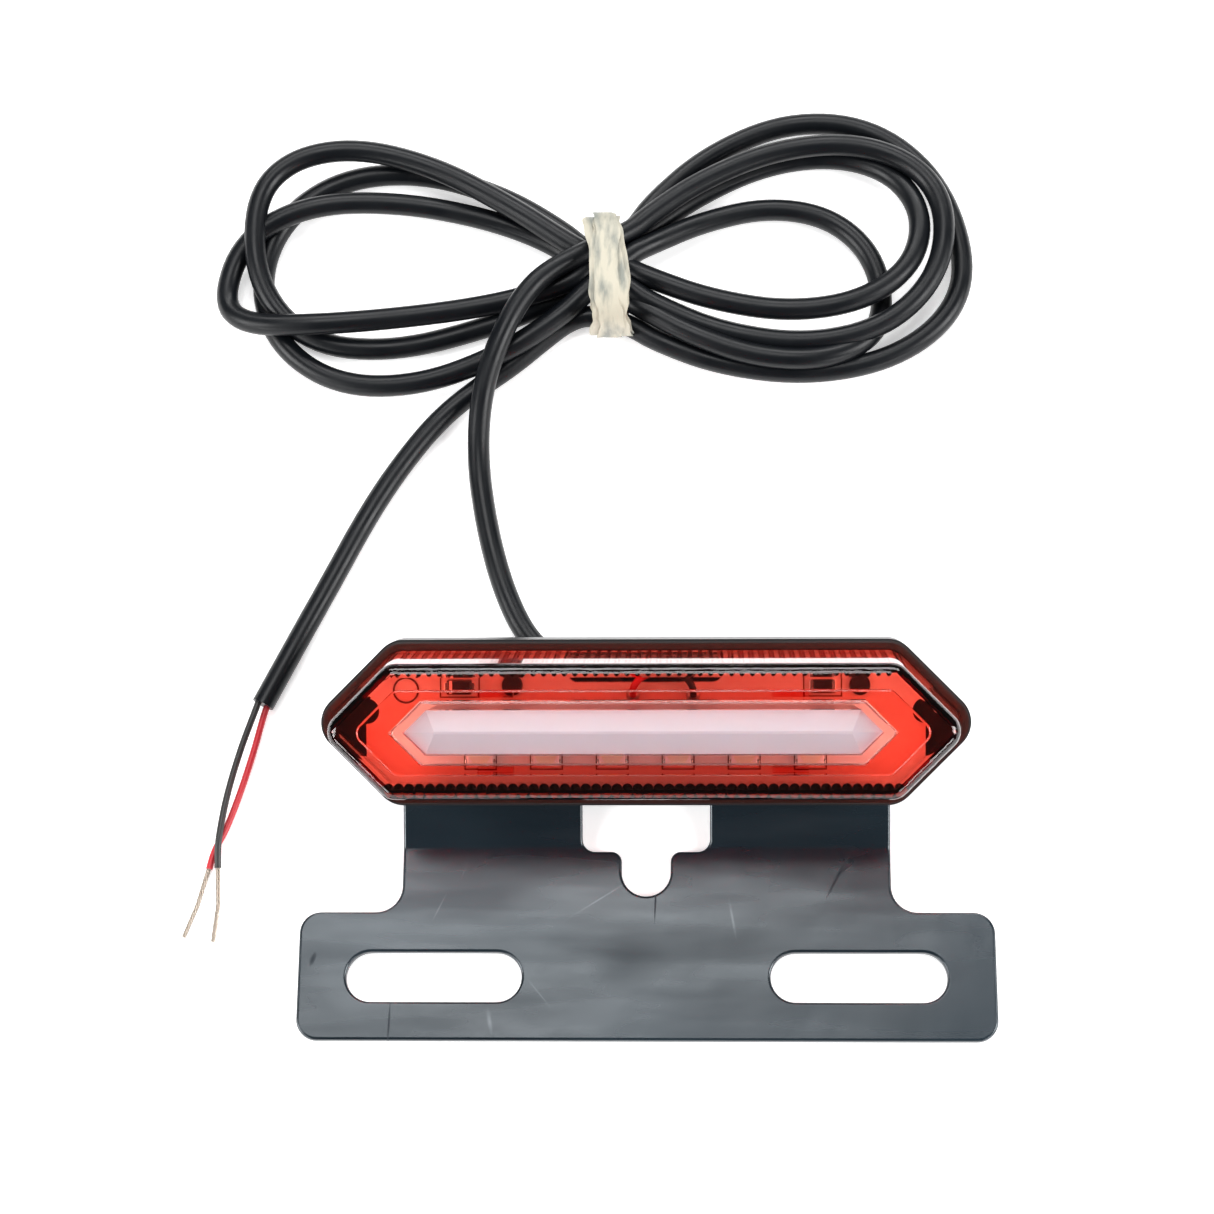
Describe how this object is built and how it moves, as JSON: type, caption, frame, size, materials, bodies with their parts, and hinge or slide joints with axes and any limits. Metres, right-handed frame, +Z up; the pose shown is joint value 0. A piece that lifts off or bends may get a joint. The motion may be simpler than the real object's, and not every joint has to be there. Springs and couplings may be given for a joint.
{
  "type": "tail light",
  "caption": "Bar-shaped vehicle tail light with a red stepped lens and clear centre window, on a bent steel bracket with slotted holes, with a tied hank of cable.",
  "frame": {"origin": "midway between the bracket's two slotted holes, on the back face of its plate, which lies on the surface", "axes": "+Z up from the plate, towards the front of the lamp; +X to the right along the bar; +Y from the slotted plate towards the lamp and the cable's hank"},
  "size_m": [0.141, 0.1738, 0.0384],
  "materials": {
    "black_painted_steel": "gloss",
    "red_lens_plastic": "gloss",
    "clear_plastic": "gloss",
    "milky_plastic": "satin",
    "white_board": "satin",
    "led_package": "satin",
    "black_component": "matte",
    "solder": "satin",
    "black_housing_plastic": "satin",
    "black_rubber": "matte",
    "zinc_plated_steel": "satin",
    "black_cable_sheath": "satin",
    "red_core_insulation": "satin",
    "cream_tape": "matte",
    "tinned_copper": "satin"
  },
  "bodies": {
    "root": {"mounting_bracket": "black_painted_steel", "rear_housing": "black_housing_plastic", "lens_seal": "black_rubber", "lens_cover": "red_lens_plastic", "window_bar": "clear_plastic", "light_diffuser": "milky_plastic", "circuit_board": "white_board", "leds": "led_package", "resistors": "black_component", "diode": "black_component", "solder_joints": "solder", "inner_wire_red": "red_core_insulation", "inner_wire_black": "black_cable_sheath", "mounting_studs": "zinc_plated_steel", "flat_washers": "zinc_plated_steel", "spring_washers": "zinc_plated_steel", "hex_nuts": "zinc_plated_steel", "cable_grommet": "black_rubber", "cord_lead": "black_cable_sheath", "cord_tail": "black_cable_sheath", "cord_coil": "black_cable_sheath", "coil_tie": "cream_tape", "core_wire_black": "black_cable_sheath", "core_wire_red": "red_core_insulation", "tinned_end_black": "tinned_copper", "tinned_end_red": "tinned_copper"}
  },
  "joints": []
}
